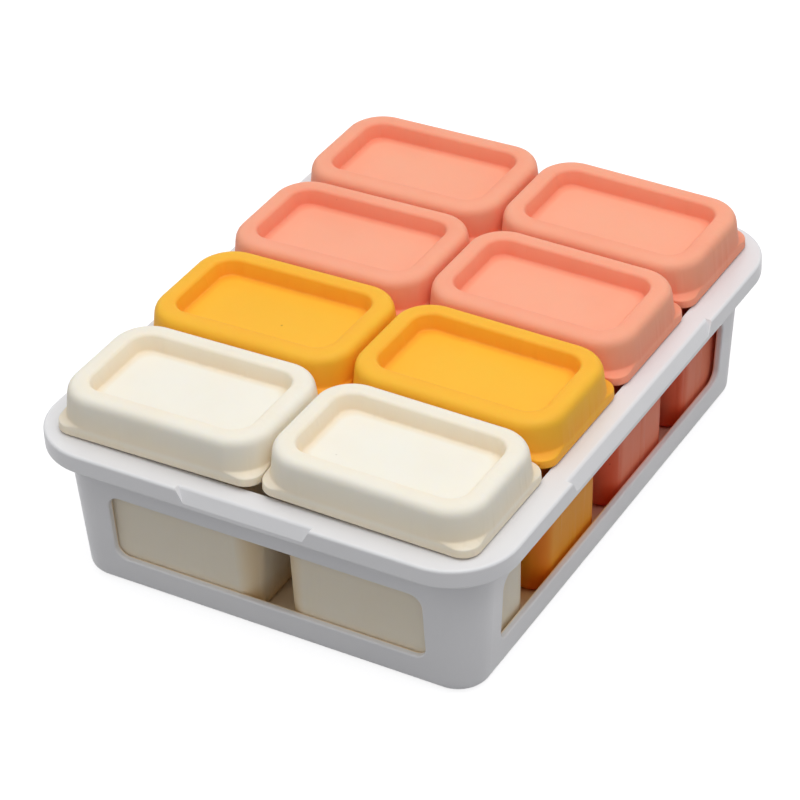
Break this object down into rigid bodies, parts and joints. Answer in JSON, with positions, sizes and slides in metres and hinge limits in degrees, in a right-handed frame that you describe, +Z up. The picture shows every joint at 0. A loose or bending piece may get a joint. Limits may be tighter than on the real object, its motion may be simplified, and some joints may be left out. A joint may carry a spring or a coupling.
{
  "type": "baby food freezer tray",
  "caption": "Windowed carrier tray holding a grid of soft food cups with press-on recessed lids; each cup lifts out and each lid pulls off.",
  "frame": {"origin": "middle of the tray's underside, on the surface that it stands on", "axes": "+X across the tray, +Y along its length towards the back, +Z up"},
  "size_m": [0.15, 0.1928, 0.0656],
  "materials": {
    "white_plastic": "satin moulded plastic, white with a cool tint",
    "cream_silicone": "matt soft silicone, warm off-white",
    "yellow_silicone": "matt soft silicone, warm yellow",
    "coral_silicone": "matt soft silicone, pale coral"
  },
  "bodies": {
    "tray": {"tray": "white_plastic"},
    "cream_left_cup": {"cream_left_cup": "cream_silicone"},
    "cream_left_lid": {"cream_left_lid": "cream_silicone"},
    "cream_right_cup": {"cream_right_cup": "cream_silicone"},
    "cream_right_lid": {"cream_right_lid": "cream_silicone"},
    "yellow_left_cup": {"yellow_left_cup": "yellow_silicone"},
    "yellow_left_lid": {"yellow_left_lid": "yellow_silicone"},
    "yellow_right_cup": {"yellow_right_cup": "yellow_silicone"},
    "yellow_right_lid": {"yellow_right_lid": "yellow_silicone"},
    "coral_front_left_cup": {"coral_front_left_cup": "coral_silicone"},
    "coral_front_left_lid": {"coral_front_left_lid": "coral_silicone"},
    "coral_front_right_cup": {"coral_front_right_cup": "coral_silicone"},
    "coral_front_right_lid": {"coral_front_right_lid": "coral_silicone"},
    "coral_back_left_cup": {"coral_back_left_cup": "coral_silicone"},
    "coral_back_left_lid": {"coral_back_left_lid": "coral_silicone"},
    "coral_back_right_cup": {"coral_back_right_cup": "coral_silicone"},
    "coral_back_right_lid": {"coral_back_right_lid": "coral_silicone"}
  },
  "joints": [
    {"name": "cream_left_cup_lift", "type": "slide", "parent": "tray", "child": "cream_left_cup", "axis": [0, 0, 1], "range_m": [0, 0.07]},
    {"name": "cream_left_lid_pull", "type": "slide", "parent": "cream_left_cup", "child": "cream_left_lid", "axis": [0, 0, 1], "range_m": [0, 0.03]},
    {"name": "cream_right_cup_lift", "type": "slide", "parent": "tray", "child": "cream_right_cup", "axis": [0, 0, 1], "range_m": [0, 0.07]},
    {"name": "cream_right_lid_pull", "type": "slide", "parent": "cream_right_cup", "child": "cream_right_lid", "axis": [0, 0, 1], "range_m": [0, 0.03]},
    {"name": "yellow_left_cup_lift", "type": "slide", "parent": "tray", "child": "yellow_left_cup", "axis": [0, 0, 1], "range_m": [0, 0.07]},
    {"name": "yellow_left_lid_pull", "type": "slide", "parent": "yellow_left_cup", "child": "yellow_left_lid", "axis": [0, 0, 1], "range_m": [0, 0.03]},
    {"name": "yellow_right_cup_lift", "type": "slide", "parent": "tray", "child": "yellow_right_cup", "axis": [0, 0, 1], "range_m": [0, 0.07]},
    {"name": "yellow_right_lid_pull", "type": "slide", "parent": "yellow_right_cup", "child": "yellow_right_lid", "axis": [0, 0, 1], "range_m": [0, 0.03]},
    {"name": "coral_front_left_cup_lift", "type": "slide", "parent": "tray", "child": "coral_front_left_cup", "axis": [0, 0, 1], "range_m": [0, 0.07]},
    {"name": "coral_front_left_lid_pull", "type": "slide", "parent": "coral_front_left_cup", "child": "coral_front_left_lid", "axis": [0, 0, 1], "range_m": [0, 0.03]},
    {"name": "coral_front_right_cup_lift", "type": "slide", "parent": "tray", "child": "coral_front_right_cup", "axis": [0, 0, 1], "range_m": [0, 0.07]},
    {"name": "coral_front_right_lid_pull", "type": "slide", "parent": "coral_front_right_cup", "child": "coral_front_right_lid", "axis": [0, 0, 1], "range_m": [0, 0.03]},
    {"name": "coral_back_left_cup_lift", "type": "slide", "parent": "tray", "child": "coral_back_left_cup", "axis": [0, 0, 1], "range_m": [0, 0.07]},
    {"name": "coral_back_left_lid_pull", "type": "slide", "parent": "coral_back_left_cup", "child": "coral_back_left_lid", "axis": [0, 0, 1], "range_m": [0, 0.03]},
    {"name": "coral_back_right_cup_lift", "type": "slide", "parent": "tray", "child": "coral_back_right_cup", "axis": [0, 0, 1], "range_m": [0, 0.07]},
    {"name": "coral_back_right_lid_pull", "type": "slide", "parent": "coral_back_right_cup", "child": "coral_back_right_lid", "axis": [0, 0, 1], "range_m": [0, 0.03]}
  ]
}
